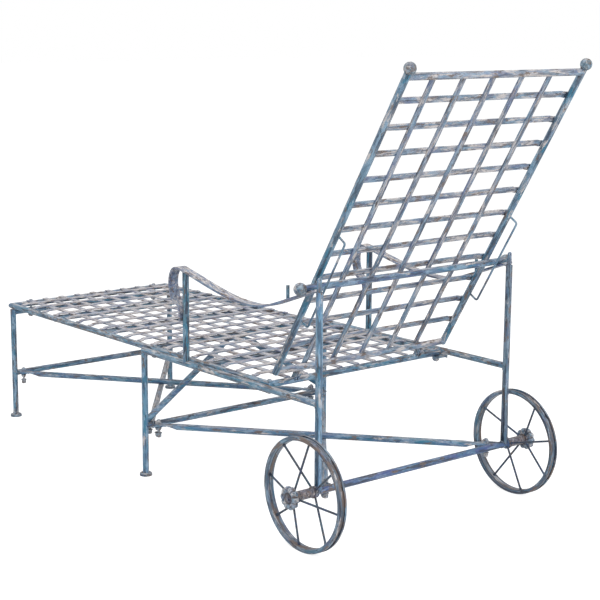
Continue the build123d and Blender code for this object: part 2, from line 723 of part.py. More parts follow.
with BuildPart() as stub_axle_left:
    rod(axle_at(leg_y - tube_d), axle_at(hub_end + rosette_t - recess_t + run_gap), axle_r)
    rod(axle_at(leg_y + tube_r), axle_at(leg_y + tube_r + washer_t), washer_r)
    rod(axle_at(leg_y), axle_at(leg_y + tube_r + washer_t / 4), cope_r, Mode.SUBTRACT)
    rod(axle_at(leg_y - tube_d), axle_at(hub_start), axle_r)
    cap_at = hub_end + rosette_t - recess_t + run_gap
    rod(axle_at(cap_at), axle_at(cap_at + washer_t), recess_r - 2 * run_gap)
    with BuildSketch(Plane(origin=axle_at(cap_at + washer_t), z_dir=(0, -1, 0))) as cap:
        Circle(recess_r - 2 * washer_t)
    extrude(cap.sketch, amount=recess_t - washer_t, taper=20)

with BuildPart() as stub_axle_right:
    mirror(stub_axle_left.part, about=Plane.XZ)

with BuildPart() as wheel_rim_left:
    with BuildSketch(Plane(origin=axle_at(rim_y), x_dir=(0, -1, 0), z_dir=(-1, 0, 0))) as band:
        with Locations((0, wheel_r - rim_t / 2)):
            Rectangle(rim_w, rim_t)
        chamfer(band.vertices(), tube_wall)
        with Locations((0, wheel_r - groove_t / 2)):
            Rectangle(groove_w, groove_t, mode=Mode.SUBTRACT)
    revolve(band.sketch, axis=Axis(axle_at(rim_y), (0, -1, 0)))

with BuildPart() as wheel_rim_right:
    mirror(wheel_rim_left.part, about=Plane.XZ)

# Spokes run in turn from the hub's inner collar and from its outer collar
with BuildPart() as wheel_spokes_left:
    for spoke in range(spoke_count):
        turn = radians(spoke_start + spoke * 360 / spoke_count)
        ray = Vector(cos(turn), 0, sin(turn))
        from_y = hub_end - collar_w / 2 if spoke % 2 == 0 else hub_start + collar_w / 2
        rod(axle_at(from_y) + ray * hub_r, axle_at(rim_y) + ray * (rim_inner + strap_t), spoke_d / 2)
    with BuildSketch(Plane(origin=axle_at(hub_start), z_dir=(0, -1, 0))) as inside:
        Circle(rim_inner - weld_gap)
        Circle(collar_r + weld_gap, mode=Mode.SUBTRACT)
    extrude(inside.sketch, amount=hub_len, mode=Mode.INTERSECT)

# The right wheel stands at another turn of its axle
wheel_axis = Axis(axle_at(0), (0, -1, 0))
with BuildPart() as wheel_spokes_right:
    mirror(wheel_spokes_left.part.rotate(wheel_axis, right_wheel_turn), about=Plane.XZ)

with BuildPart() as wheel_hub_left:
    rod(axle_at(hub_start), axle_at(hub_end), hub_r)
    rod(axle_at(hub_start), axle_at(hub_start + collar_w), collar_r)
    rod(axle_at(hub_end - collar_w), axle_at(hub_end), collar_r)
    rod(axle_at(hub_start), axle_at(hub_end), axle_r + bore_gap, Mode.SUBTRACT)

with BuildPart() as wheel_hub_right:
    mirror(wheel_hub_left.part, about=Plane.XZ)

with BuildPart() as wheel_rosette_left:
    with BuildSketch(Plane(origin=axle_at(hub_end), z_dir=(0, -1, 0))) as flower:
        Circle(rosette_r - petal_r)
        with PolarLocations(rosette_r - petal_r, petals):
            Circle(petal_r)
    extrude(flower.sketch, amount=rosette_t / 2)
    with BuildSketch(Plane(origin=axle_at(hub_end + rosette_t / 2), z_dir=(0, -1, 0))) as crown:
        Circle(rosette_r - 2 * petal_r)
        with PolarLocations(rosette_r - 2 * petal_r, petals, start_angle=180 / petals):
            Circle(petal_r - 1)
    extrude(crown.sketch, amount=rosette_t / 2)
    rod(axle_at(hub_end), axle_at(hub_end + rosette_t), axle_r + bore_gap, Mode.SUBTRACT)
    rod(axle_at(hub_end + rosette_t - recess_t), axle_at(hub_end + rosette_t), recess_r, Mode.SUBTRACT)

with BuildPart() as wheel_rosette_right:
    mirror(wheel_rosette_left.part.rotate(wheel_axis, right_wheel_turn), about=Plane.XZ)

# ---------------------------------------------------------------- labels and files
pieces = {
    "foot_leg_left": foot_leg_left,
    "foot_leg_right": foot_leg_right,
    "foot_top_bar": foot_top_bar,
    "foot_low_bar": foot_low_bar,
    "foot_glide_left": foot_glide_left,
    "foot_glide_right": foot_glide_right,
    "mid_leg_left": mid_leg_left,
    "mid_leg_right": mid_leg_right,
    "mid_low_bar": mid_low_bar,
    "mid_glide_left": mid_glide_left,
    "mid_glide_right": mid_glide_right,
    "vee_brace": vee_brace,
    "side_rail_left": side_rail_left,
    "side_rail_right": side_rail_right,
    "rear_post_left": rear_post_left,
    "rear_post_right": rear_post_right,
    "axle_bar": axle_bar,
    "armrest_left": armrest_left,
    "armrest_right": armrest_right,
    "stop_pegs": stop_pegs,
    "arm_post_left": arm_post_left,
    "arm_post_right": arm_post_right,
    "foot_brace_upper": foot_brace_upper,
    "foot_brace_lower": foot_brace_lower,
    "rear_brace_upper": rear_brace_upper,
    "rear_brace_lower": rear_brace_lower,
    "brace_bolts": brace_bolts,
    "seat_rail_left": seat_rail_left,
    "seat_rail_right": seat_rail_right,
    "seat_foot_tube": seat_foot_tube,
    "seat_rear_tube": seat_rear_tube,
    "seat_cross_tubes": seat_cross_tubes,
    "seat_long_straps": seat_long_straps,
    "seat_cross_straps": seat_cross_straps,
    "seat_bolts": seat_bolts,
    "hinge_pins": hinge_pins,
    "back_rail_left": back_rail_left,
    "back_rail_right": back_rail_right,
    "back_bottom_tube": back_bottom_tube,
    "back_top_tube": back_top_tube,
    "back_long_straps": back_long_straps,
    "back_cross_straps": back_cross_straps,
    "finial_left": finial_left,
    "finial_right": finial_right,
    "slide_loop_left": slide_loop_left,
    "slide_loop_right": slide_loop_right,
    "prop_bar": prop_bar,
    "bar_ball_left": bar_ball_left,
    "bar_ball_right": bar_ball_right,
    "stub_axle_left": stub_axle_left,
    "stub_axle_right": stub_axle_right,
    "wheel_rim_left": wheel_rim_left,
    "wheel_rim_right": wheel_rim_right,
    "wheel_spokes_left": wheel_spokes_left,
    "wheel_spokes_right": wheel_spokes_right,
    "wheel_hub_left": wheel_hub_left,
    "wheel_hub_right": wheel_hub_right,
    "wheel_rosette_left": wheel_rosette_left,
    "wheel_rosette_right": wheel_rosette_right,
}

for name, piece in pieces.items():
    piece.part.label = name
    export_step(piece.part, f"parts/{name}.step")
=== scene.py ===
import math

import bmesh
import bpy
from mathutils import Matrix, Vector


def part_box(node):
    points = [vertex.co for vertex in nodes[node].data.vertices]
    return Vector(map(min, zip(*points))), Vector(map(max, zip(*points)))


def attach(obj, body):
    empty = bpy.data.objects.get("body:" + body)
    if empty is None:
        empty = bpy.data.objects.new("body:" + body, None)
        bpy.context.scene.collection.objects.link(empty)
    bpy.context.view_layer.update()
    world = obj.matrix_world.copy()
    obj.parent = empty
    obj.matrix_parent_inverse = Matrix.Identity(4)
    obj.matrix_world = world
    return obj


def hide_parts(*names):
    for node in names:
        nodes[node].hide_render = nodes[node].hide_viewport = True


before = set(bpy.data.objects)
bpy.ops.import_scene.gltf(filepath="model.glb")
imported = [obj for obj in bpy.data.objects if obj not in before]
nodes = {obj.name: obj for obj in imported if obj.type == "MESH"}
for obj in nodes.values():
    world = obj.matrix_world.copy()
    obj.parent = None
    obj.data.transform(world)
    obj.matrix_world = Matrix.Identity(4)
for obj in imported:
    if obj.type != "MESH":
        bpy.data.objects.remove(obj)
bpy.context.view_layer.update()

# ---- Foot frame
# Two legs, a top bar and a low bar of 16 mm steel tube, welded into a gate. It is painted steel
# blue over darker coats, then rubbed back by hand along each tube, so the streaks follow the
# tube. Paler paint on the faces that point up is painted light from above.


def chip(red, green, blue):
    """Linear colour of a paint chip given in display values from 0 to 255."""
    linear = []
    for value in (red / 255, green / 255, blue / 255):
        linear.append(value / 12.92 if value <= 0.04045 else ((value + 0.055) / 1.055) ** 2.4)
    return (*linear, 1.0)


def node(tree, kind, settings=(), **inputs):
    """New node with its settings; each input, by name or as _number, is set or linked."""
    made = tree.nodes.new(kind)
    for name, value in dict(settings).items():
        setattr(made, name, value)
    for name, value in inputs.items():
        label = int(name[1:]) if name[1:].isdigit() else name.replace("_", " ")
        socket = made.inputs[label]
        if isinstance(value, bpy.types.NodeSocket):
            tree.links.new(value, socket)
        else:
            socket.default_value = value
    return made


def combine(tree, operation, a, b):
    """Two numbers added, multiplied or the like."""
    return node(tree, "ShaderNodeMath", {"operation": operation}, _0=a, _1=b).outputs[0]


def combine_places(tree, operation, a, b):
    """Two vectors added, multiplied or the like."""
    return node(tree, "ShaderNodeVectorMath", {"operation": operation}, _0=a, _1=b).outputs[0]


def mottle(tree, place, scale, detail, rough, shift):
    """Cloudy pattern from 0 to 1; shift slides it so that no two coats match."""
    moved = combine_places(tree, "ADD", place, (shift, shift * 0.7, shift * 1.3))
    noise = node(tree, "ShaderNodeTexNoise", Vector=moved, Scale=scale, Detail=detail, Roughness=rough)
    return noise.outputs[0]


def band(tree, value, low, high, top=1.0):
    """The value stretched so that low gives 0 and high gives top, with soft ends."""
    stretched = node(
        tree,
        "ShaderNodeMapRange",
        {"interpolation_type": "SMOOTHSTEP"},
        Value=value,
        From_Min=low,
        From_Max=high,
        To_Min=0.0,
        To_Max=top,
    )
    return stretched.outputs[0]


def coat(tree, under, over, cover):
    """One paint over another, where cover is 1."""
    mix = node(tree, "ShaderNodeMix", {"data_type": "RGBA"}, _0=cover, _6=under, _7=over)
    return mix.outputs[2]


def along_piece(tree, place, along, squeeze):
    """Place with one axis shortened, so that a pattern stretches along it."""
    scale = tuple(squeeze if axis == along else 1.0 for axis in "XYZ")
    return node(tree, "ShaderNodeMapping", Vector=place, Scale=scale).outputs[0]


def round_hoop(tree, place, hoop, tighten):
    """Place with its way round an upright hoop shortened, so that a pattern stretches along it."""
    centre, radius = hoop
    out = combine_places(tree, "SUBTRACT", place, centre)
    flat = combine_places(tree, "MULTIPLY", out, (1, 0, 1))
    side = combine_places(tree, "MULTIPLY", out, (0, 1, 0))
    reach = node(tree, "ShaderNodeVectorMath", {"operation": "LENGTH"}, _0=flat).outputs["Value"]
    ray = node(tree, "ShaderNodeVectorMath", {"operation": "NORMALIZE"}, _0=flat).outputs[0]
    left = combine(tree, "SUBTRACT", reach, tighten * radius)
    ring = node(tree, "ShaderNodeVectorMath", {"operation": "SCALE"}, _0=ray, Scale=left).outputs[0]
    return combine_places(tree, "ADD", ring, side)


# Chips of the paints on this frame, from the first coat to the wear
navy_chip = chip(64, 80, 138)
teal_chip = chip(38, 116, 146)
light_chip = chip(158, 186, 208)
line_chip = chip(36, 48, 68)
# Pale paint of the rubbed patches, also used as painted light on faces that point up
rubbed_and_lit_chip = chip(214, 207, 204)
bare_chip = chip(110, 94, 86)
speck_chip = chip(42, 46, 56)
# Dark paint for painted shade in hollows
hollow_shade_chip = chip(66, 62, 66)


def rubbed_paint(
    name,
    turn=(0, 0, 0),
    along="X",
    blue=(88, 120, 148),
    navy=0.5,
    teal=0.5,
    light=0.5,
    brown=0.5,
    dark=0.5,
    pale=0.5,
    top=0.5,
    shift=0.0,
    hoop=None,
    hollow_shade=0.0,
):
    """Blue paint over navy, teal and light coats, rubbed back along one axis of the piece.

    turn brings a tilted piece level with the pattern, and along is empty on a piece with no
    long way. navy, teal, light, brown and dark say how strongly each coat, bare patch or stroke
    shows, pale how widely the paint is rubbed, and top how much paler the faces that point up
    are painted, as painted light from above. shift keeps two paints apart. A hoop's middle and
    radius send the strokes round it, and the last argument sets how dark the painted shade is
    in what the mesh marks as hollow.
    """
    material = bpy.data.materials.new(name)
    material.use_nodes = True
    tree = material.node_tree
    tree.nodes.clear()
    where = node(tree, "ShaderNodeTexCoord")
    turned = node(tree, "ShaderNodeMapping", Vector=where.outputs["Object"], Rotation=turn).outputs[0]
    if hoop:
        patch = round_hoop(tree, turned, hoop, tighten=0.75)
        brush = round_hoop(tree, turned, hoop, tighten=0.93)
    else:
        patch = along_piece(tree, turned, along, squeeze=0.3)
        brush = along_piece(tree, turned, along, squeeze=0.09)

    # Coats under the blue, which show where it was thin
    thin = mottle(tree, patch, scale=50, detail=4, rough=0.6, shift=shift)
    paint = coat(tree, chip(*blue), navy_chip, band(tree, thin, 0.50, 0.57, navy))
    thin = mottle(tree, patch, scale=56, detail=4, rough=0.6, shift=shift + 3)
    paint = coat(tree, paint, teal_chip, band(tree, thin, 0.51, 0.58, teal))
    thin = mottle(tree, patch, scale=90, detail=4, rough=0.65, shift=shift + 5)
    paint = coat(tree, paint, light_chip, band(tree, thin, 0.50, 0.56, light))

    # Dark lines and pale dry strokes left by the brush
    stroke = mottle(tree, brush, scale=150, detail=3, rough=0.6, shift=shift + 7)
    dark_line = band(tree, stroke, 0.50, 0.42, dark)
    paint = coat(tree, paint, line_chip, dark_line)
    bristles = mottle(tree, brush, scale=210, detail=4, rough=0.65, shift=shift + 8)
    dry_stroke = band(tree, bristles, 0.46, 0.55)
    touched = mottle(tree, patch, scale=64, detail=5, rough=0.65, shift=shift + 9)
    rub = band(tree, touched, 0.66 - 0.28 * pale, 0.76 - 0.28 * pale, 0.9)
    # Faces that point up are painted paler, as light from above, and this painted light joins the
    # rubbed patches
    facing = node(tree, "ShaderNodeSeparateXYZ", Vector=where.outputs["Normal"]).outputs[2]
    painted_top_light = band(tree, facing, 0.15, 0.95, top)
    wear_and_top_light = combine(tree, "MAXIMUM", rub, painted_top_light)
    streaks = node(tree, "ShaderNodeMapRange", Value=dry_stroke, To_Min=0.2, To_Max=1.0).outputs[0]
    paint = coat(tree, paint, rubbed_and_lit_chip, combine(tree, "MULTIPLY", wear_and_top_light, streaks))

    # Bare brown metal and black specks
    chipped = mottle(tree, patch, scale=72, detail=6, rough=0.72, shift=shift + 13)
    bare = band(tree, chipped, 0.60 - 0.08 * brown, 0.66 - 0.08 * brown, 0.9)
    paint = coat(tree, paint, bare_chip, bare)
    pitted = mottle(tree, patch, scale=110, detail=5, rough=0.7, shift=shift + 11)
    paint = coat(tree, paint, speck_chip, band(tree, pitted, 0.57, 0.64, dark))
    # Painted shade, darkest in what the mesh marks as hollow
    if hollow_shade:
        marked = node(tree, "ShaderNodeAttribute", {"attribute_name": "hollow"}).outputs["Fac"]
        paint = coat(tree, paint, hollow_shade_chip, combine(tree, "MULTIPLY", marked, hollow_shade))

    gloss = node(tree, "ShaderNodeMapRange", Value=wear_and_top_light, To_Min=0.42, To_Max=0.68).outputs[0]
    height = combine(tree, "SUBTRACT", dry_stroke, dark_line)
    relief = node(tree, "ShaderNodeBump", Strength=0.3, Distance=0.0006, Height=height).outputs[0]
    surface = node(tree, "ShaderNodeBsdfPrincipled", Base_Color=paint, Roughness=gloss, Normal=relief)
    node(tree, "ShaderNodeOutputMaterial", Surface=surface.outputs[0])
    return material


def finish_nodes(material, *names):
    """Give CAD pieces a finish in place of their plain one."""
    for name in names:
        nodes[name].data.materials.clear()
        nodes[name].data.materials.append(material)


leg_paint = rubbed_paint(
    "leg_paint", along="Z", blue=(106, 150, 178), shift=0.2,
    navy=0.3, teal=0.7, light=0.7, brown=0.75, dark=0.8, pale=0.4, top=0.4,
)
bar_paint = rubbed_paint(
    "bar_paint", along="Y", blue=(84, 123, 152), shift=1.7,
    navy=0.4, teal=0.8, light=0.5, brown=0.6, dark=0.85, pale=0.45, top=0.5,
)
finish_nodes(leg_paint, "foot_leg_left", "foot_leg_right")
finish_nodes(bar_paint, "foot_top_bar", "foot_low_bar")

# ---- Glides
# Round feet turned from steel bar and driven into the open ends of the four legs, with the same
# paint worn darker by the ground.

glide_paint = rubbed_paint(
    "glide_paint", along="", blue=(104, 116, 128), shift=2.9,
    navy=0.3, teal=0.3, light=0.5, brown=0.7, dark=0.8, pale=0.45, top=0.5,
)
finish_nodes(glide_paint, "foot_glide_left", "foot_glide_right", "mid_glide_left", "mid_glide_right")

# ---- Weld beads
# Where one tube meets the side of another it is coped to fit and brazed, and a thin lumpy bead
# runs round the joint.


def named_input(tree, name, kind, value):
    """Named input of a Geometry Nodes tree with its usual value."""
    socket = tree.interface.new_socket(name, in_out="INPUT", socket_type=kind)
    socket.default_value = value


def stamp_tree(name, sizes, shape):
    """Tree that sets one shape on each point, its Z along aim and its Y along spine."""
    tree = bpy.data.node_groups.new(name, "GeometryNodeTree")
    tree.interface.new_socket("Geometry", in_out="INPUT", socket_type="NodeSocketGeometry")
    for label, value in sizes.items():
        named_input(tree, label, "NodeSocketFloat", value)
    named_input(tree, "Material", "NodeSocketMaterial", None)
    tree.interface.new_socket("Geometry", in_out="OUTPUT", socket_type="NodeSocketGeometry")
    entry = node(tree, "NodeGroupInput").outputs
    as_vector = {"data_type": "FLOAT_VECTOR"}
    aim = node(tree, "GeometryNodeInputNamedAttribute", as_vector, Name="aim").outputs[0]
    spine = node(tree, "GeometryNodeInputNamedAttribute", as_vector, Name="spine").outputs[0]
    upright = node(tree, "FunctionNodeAlignRotationToVector", {"axis": "Z"}, Vector=aim)
    turned = node(
        tree,
        "FunctionNodeAlignRotationToVector",
        {"axis": "Y", "pivot_axis": "Z"},
        Rotation=upright.outputs[0],
        Vector=spine,
    )
    stamped = node(
        tree,
        "GeometryNodeInstanceOnPoints",
        Points=entry["Geometry"],
        Instance=shape(tree, entry),
        Rotation=turned.outputs[0],
    )
    real = node(tree, "GeometryNodeRealizeInstances", Geometry=stamped.outputs[0]).outputs[0]
    dressed = node(tree, "GeometryNodeSetMaterial", Geometry=real, Material=entry["Material"])
    node(tree, "NodeGroupOutput", Geometry=dressed.outputs[0])
    return tree


def hang(name, mesh, body):
    """Object of a finished mesh that moves with a body."""
    piece = bpy.data.objects.new(name, mesh)
    bpy.context.scene.collection.objects.link(piece)
    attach(piece, body)
    return piece


def stamp(name, body, tree, material, places, **sizes):
    """Piece on a body with the tree's shape at each (place, aim, spine)."""
    points = bpy.data.meshes.new(name + "_points")
    points.from_pydata([place for place, aim, spine in places], [], [])
    for label, column in (("aim", 1), ("spine", 2)):
        layer = points.attributes.new(label, "FLOAT_VECTOR", "POINT")
        layer.data.foreach_set("vector", [value for row in places for value in row[column]])
    maker = bpy.data.objects.new(name + "_maker", points)
    bpy.context.scene.collection.objects.link(maker)
    modifier = maker.modifiers.new("stamp", "NODES")
    modifier.node_group = tree
    sizes["Material"] = material
    for item in tree.interface.items_tree:
        if item.in_out == "INPUT" and item.name in sizes:
            modifier[item.identifier] = sizes[item.name]
    seen = maker.evaluated_get(bpy.context.evaluated_depsgraph_get())
    mesh = bpy.data.meshes.new_from_object(seen)
    maker.modifiers.remove(modifier)
    bpy.data.objects.remove(maker)
    hang(name, mesh, body)


def middle(name):
    """Middle of a node's box."""
    low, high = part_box(name)
    return (Vector(low) + Vector(high)) / 2


def bead_shape(tree, entry):
    """Ring that dips like the side of a tube, with a lumpy round section."""
    ring = node(tree, "GeometryNodeCurvePrimitiveCircle", Resolution=28, Radius=entry["Tube Radius"])
    section = node(tree, "GeometryNodeCurvePrimitiveCircle", Resolution=7, Radius=entry["Bead Radius"])
    place = node(tree, "GeometryNodeInputPosition").outputs[0]
    axes = node(tree, "ShaderNodeSeparateXYZ", Vector=place).outputs
    dip = node(tree, "ShaderNodeMath", {"operation": "ABSOLUTE"}, _0=axes["Y"]).outputs[0]
    saddle = node(tree, "ShaderNodeCombineXYZ", X=axes["X"], Y=axes["Y"], Z=dip).outputs[0]
    coped = node(tree, "GeometryNodeSetPosition", Geometry=ring.outputs[0], Position=saddle).outputs[0]
    drawn = node(tree, "GeometryNodeCurveToMesh", Curve=coped, Profile_Curve=section.outputs[0])
    four_way = {"noise_dimensions": "4D"}
    noise = node(tree, "ShaderNodeTexNoise", four_way, W=entry["Seed"], Scale=320.0, Detail=2.0)
    lumps = combine_places(tree, "SUBTRACT", noise.outputs["Color"], (0.5, 0.5, 0.5))
    push = node(tree, "ShaderNodeVectorMath", {"operation": "SCALE"}, _0=lumps, Scale=entry["Lump"])
    bead = node(tree, "GeometryNodeSetPosition", Geometry=drawn.outputs[0], Offset=push.outputs[0])
    return bead.outputs[0]


tube_radius = 0.008
weld_paint = rubbed_paint(
    "weld_paint", along="", blue=(92, 114, 136), shift=3.3,
    navy=0.4, teal=0.4, brown=0.7, dark=0.8, pale=0.4,
)
bead_sizes = {"Tube Radius": tube_radius, "Bead Radius": 0.0014, "Lump": 0.0016, "Seed": 5.0}
bead_tree = stamp_tree("weld_bead", bead_sizes, bead_shape)
up, ahead, astern = (0, 0, 1), (1, 0, 0), (-1, 0, 0)
inward = {"left": (0, 1, 0), "right": (0, -1, 0)}
bars_of_legs = (
    ("foot_leg_", ("foot_top_bar", "foot_low_bar")),
    ("mid_leg_", ("mid_low_bar",)),
    ("rear_post_", ("axle_bar",)),
)
frame_joints = []
for leg, bars in bars_of_legs:
    for side in inward:
        spot = middle(leg + side)
        for bar in bars:
            frame_joints.append(((spot.x, spot.y, middle(bar).z), inward[side], up))
for side in inward:
    rail = middle("side_rail_" + side)
    post = middle("rear_post_" + side)
    arm_post = middle("arm_post_" + side)
    frame_joints.append(((post.x, post.y, rail.z), astern, up))
    frame_joints.append(((arm_post.x, arm_post.y, rail.z), up, ahead))
stamp("frame_weld_beads", "frame", bead_tree, weld_paint, frame_joints)

# ---- Middle frame
# Two steel tube legs mitred to the side rails, a low bar with bolt tabs, and one tube bent to an
# inverted V that carries the middle of the seat.

finish_nodes(leg_paint, "mid_leg_left", "mid_leg_right")
finish_nodes(bar_paint, "mid_low_bar")
vee_paint = rubbed_paint(
    "vee_paint", along="Y", blue=(84, 124, 158), shift=4.1,
    navy=0.5, teal=0.7, light=0.5, brown=0.4, dark=0.6, pale=0.35, top=0.4,
)
finish_nodes(vee_paint, "vee_brace")

# ---- Side rails, rear posts and axle bar
# Steel tubes from the middle legs to the rear posts, which stand on the axle bar. The bar's ends
# run out past the posts to a flange at each wheel, where the stub axles are fixed.

rail_paint = rubbed_paint(
    "rail_paint", along="X", blue=(88, 128, 154), shift=5.3,
    navy=0.3, teal=0.7, light=0.5, brown=0.8, dark=0.8, pale=0.5, top=0.55,
)
post_paint = {
    "left": rubbed_paint(
        "post_paint_left", along="Z", blue=(110, 152, 184), shift=6.7,
        navy=0.3, teal=0.6, light=0.7, brown=0.4, dark=0.6, pale=0.4, top=0.4,
    ),
    # The right post gets a duller, darker copy of the left post's paint: painted shade on the post
    # away from the lamps
    "right": rubbed_paint(
        "post_paint_right_shaded", along="Z", blue=(100, 118, 136), shift=11.3,
        navy=0.3, teal=0.3, light=0.4, brown=0.7, dark=0.8, pale=0.35, top=0.4,
    ),
}
axle_bar_paint = rubbed_paint(
    "axle_bar_paint", along="Y", blue=(72, 100, 144), shift=7.9,
    navy=0.7, teal=0.35, light=0.3, brown=0.5, dark=0.85, pale=0.3, top=0.15,
)
finish_nodes(rail_paint, "side_rail_left", "side_rail_right")
finish_nodes(axle_bar_paint, "axle_bar")

merge_gap = 0.00002
bar_middle = middle("axle_bar")
end_profile = (
    # distance inboard of the hub, radius
    (0.0260, 0.0),
    (0.0260, 0.0079),
    (0.0060, 0.0080),
    (0.0050, 0.0088),
    (0.0046, 0.0122),
    (0.0038, 0.0130),
    (0.0024, 0.0130),
    (0.0020, 0.0124),
    (0.0020, 0.0),
)


def turn_to_mesh(form, name, material):
    """Mesh of a finished form, in its paint."""
    mesh = bpy.data.meshes.new(name)
    form.to_mesh(mesh)
    form.free()
    mesh.materials.append(material)
    return mesh


for side, outward in (("left", -1), ("right", 1)):
    finish_nodes(post_paint[side], "rear_post_" + side)
    form = bmesh.new()
    form.from_mesh(nodes["rear_post_" + side].data)
    bmesh.ops.remove_doubles(form, verts=form.verts, dist=merge_gap)
    cut = bmesh.ops.bisect_plane(
        form,
        geom=form.verts[:] + form.edges[:] + form.faces[:],
        plane_co=bar_middle,
        plane_no=(0, 0, -1),
        clear_outer=True,
    )
    rims = [edge for edge in cut["geom_cut"] if isinstance(edge, bmesh.types.BMEdge)]
    bmesh.ops.triangle_fill(form, edges=rims, use_beauty=True)
    name = "standing_post_" + side
    post = hang(name, turn_to_mesh(form, name, post_paint[side]), "frame")
    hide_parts("rear_post_" + side)

    spot = middle("rear_post_" + side)
    hub_low, hub_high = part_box("wheel_hub_" + side)
    hub_face = hub_high[1] if side == "left" else hub_low[1]
    form = bmesh.new()
    line = []
    for inboard, reach in end_profile:
        line.append(form.verts.new((spot.x + reach, hub_face - outward * inboard, bar_middle.z)))
    edges = [form.edges.new(pair) for pair in zip(line, line[1:])]
    bmesh.ops.spin(
        form,
        geom=line + edges,
        cent=(spot.x, hub_face, bar_middle.z),
        axis=(0, 1, 0),
        angle=math.tau,
        steps=40,
        use_merge=True,
    )
    bmesh.ops.remove_doubles(form, verts=form.verts, dist=merge_gap / 2)
    bmesh.ops.recalc_face_normals(form, faces=form.faces)
    name = "axle_bar_end_" + side
    hang(name, turn_to_mesh(form, name, axle_bar_paint), "frame")

# ---- Arms
# Flat straps that curl down in front of their posts and sag to the rear posts, rubbed pale, with
# tops painted paler still as light from above, and a stop peg on each.

arm_paint = rubbed_paint(
    "arm_paint", along="X", blue=(122, 134, 160), shift=8.3,
    navy=0.35, teal=0.2, light=0.4, brown=0.6, dark=0.5, pale=0.6, top=0.95,
)
arm_post_paint = rubbed_paint(
    "arm_post_paint", along="Z", blue=(92, 132, 152), shift=9.1,
    navy=0.4, teal=0.8, light=0.5, brown=0.4, dark=0.9, pale=0.3, top=0.4,
)
finish_nodes(arm_paint, "armrest_left", "armrest_right")
finish_nodes(arm_post_paint, "arm_post_left", "arm_post_right", "stop_pegs")

# ---- Braces and bolts
# Steel tubes with their ends pressed flat and drilled, crossed in pairs and bolted to the tabs
# of the low bars.

# Turn of each brace about the vertical, in radians, which its strokes follow
foot_bay_turn, rear_bay_turn = 0.68, 0.72
brace_turn = {
    "foot_brace_upper": -foot_bay_turn,
    "foot_brace_lower": foot_bay_turn,
    "rear_brace_upper": -rear_bay_turn,
    "rear_brace_lower": rear_bay_turn,
}
for number, (name, angle) in enumerate(brace_turn.items()):
    # The lower foot brace gets a paler grey copy of the brace paint, a painted highlight along it
    highlit_brace = name == "foot_brace_lower"
    brace_paint = rubbed_paint(
        name + "_paint",
        turn=(0, 0, angle),
        along="X",
        blue=(140, 146, 156) if highlit_brace else (78, 122, 158),
        navy=0.2 if highlit_brace else 0.3,
        teal=0.2 if highlit_brace else 0.95,
        pale=0.8 if highlit_brace else 0.35,
        shift=10 + number,
    )
    finish_nodes(brace_paint, name)
bolt_paint = rubbed_paint(
    "bolt_paint", along="", blue=(150, 158, 168), shift=14.5,
    navy=0.3, teal=0.4, light=0.5, brown=0.4, dark=0.5, pale=0.7, top=0.6,
)
finish_nodes(bolt_paint, "brace_bolts", "seat_bolts", "hinge_pins")

# ---- Bolt hardware
# Zinc bolts painted over with the frame: a washer and plain nut are drawn up under each tab,
# and a cap nut closes the bolt's end.


def cap_nut_shape(tree, entry):
    """Hexagon with a dome under it and a flange on top, below the point."""
    height = entry["Nut Height"]
    hexagon = {"Vertices": 6, "Radius": entry["Nut Radius"], "Depth": height}
    nut = node(tree, "GeometryNodeMeshCylinder", **hexagon).outputs["Mesh"]
    ball = {"Segments": 18, "Rings": 10, "Radius": entry["Dome Radius"]}
    dome = node(tree, "GeometryNodeMeshUVSphere", **ball).outputs["Mesh"]
    disc = {"Vertices": 24, "Radius": entry["Washer Radius"], "Depth": entry["Washer Height"]}
    flange = node(tree, "GeometryNodeMeshCylinder", **disc).outputs["Mesh"]
    nut_middle = combine(tree, "MULTIPLY", height, -0.5)
    dome_middle = combine(tree, "MULTIPLY", height, -0.9)
    joined = node(tree, "GeometryNodeJoinGeometry")
    for part, depth in ((nut, nut_middle), (dome, dome_middle), (flange, 0.0)):
        offset = node(tree, "ShaderNodeCombineXYZ", Z=depth).outputs[0]
        lowered = node(tree, "GeometryNodeTransform", Geometry=part, Translation=offset).outputs[0]
        tree.links.new(lowered, joined.inputs[0])
    return joined.outputs[0]


def bolt_ends(name, reach=0.012):
    """Middle, lowest and highest height of each upright bolt in a node."""
    bolts = []
    for vertex in nodes[name].data.vertices:
        for bolt in bolts:
            if (vertex.co.xy - bolt[0].xy).length < reach:
                bolt.append(vertex.co)
                break
        else:
            bolts.append([vertex.co])
    ends = []
    for bolt in bolts:
        xs, ys, zs = zip(*bolt)
        ends.append(((min(xs) + max(xs)) / 2, (min(ys) + max(ys)) / 2, min(zs), max(zs)))
    return ends


cap_height, cap_radius = 0.0075, 0.0068
nut_sizes = {
    "Nut Radius": cap_radius,
    "Nut Height": cap_height,
    "Dome Radius": 0.0056,
    "Washer Radius": 0.0078,
    "Washer Height": 0.0016,
}
cap_nut_tree = stamp_tree("cap_nut", nut_sizes, cap_nut_shape)
tab_under = middle("mid_low_bar").z - 0.0017
flat_thickness, head_height = 0.0032, 0.004
brace_nut_rise, seat_nut_rise, head_lap, washer_gap = 0.003, 0.002, 0.0009, 0.001
down = (0, 0, -1)
cap_places, jam_places = [], []
for x, y, bottom, top in bolt_ends("brace_bolts"):
    head_under = top - head_height
    cap_places.append(((x, y, bottom + cap_height + brace_nut_rise), up, ahead))
    cap_places.append(((x, y, head_under + head_lap), down, ahead))
    clamps_over_tab = head_under > tab_under + 2 * flat_thickness
    clamped_under = tab_under if clamps_over_tab else tab_under - flat_thickness
    jam_places.append(((x, y, clamped_under - washer_gap), up, ahead))
for x, y, bottom, top in bolt_ends("seat_bolts"):
    cap_places.append(((x, y, bottom + cap_height + seat_nut_rise), up, ahead))
stamp("cap_nuts", "frame", cap_nut_tree, bolt_paint, cap_places)
jam_sizes = {"Nut Radius": 0.0058, "Nut Height": 0.005, "Dome Radius": 0.0034, "Washer Radius": 0.0072}
stamp("jam_nuts", "frame", cap_nut_tree, bolt_paint, jam_places, **jam_sizes)
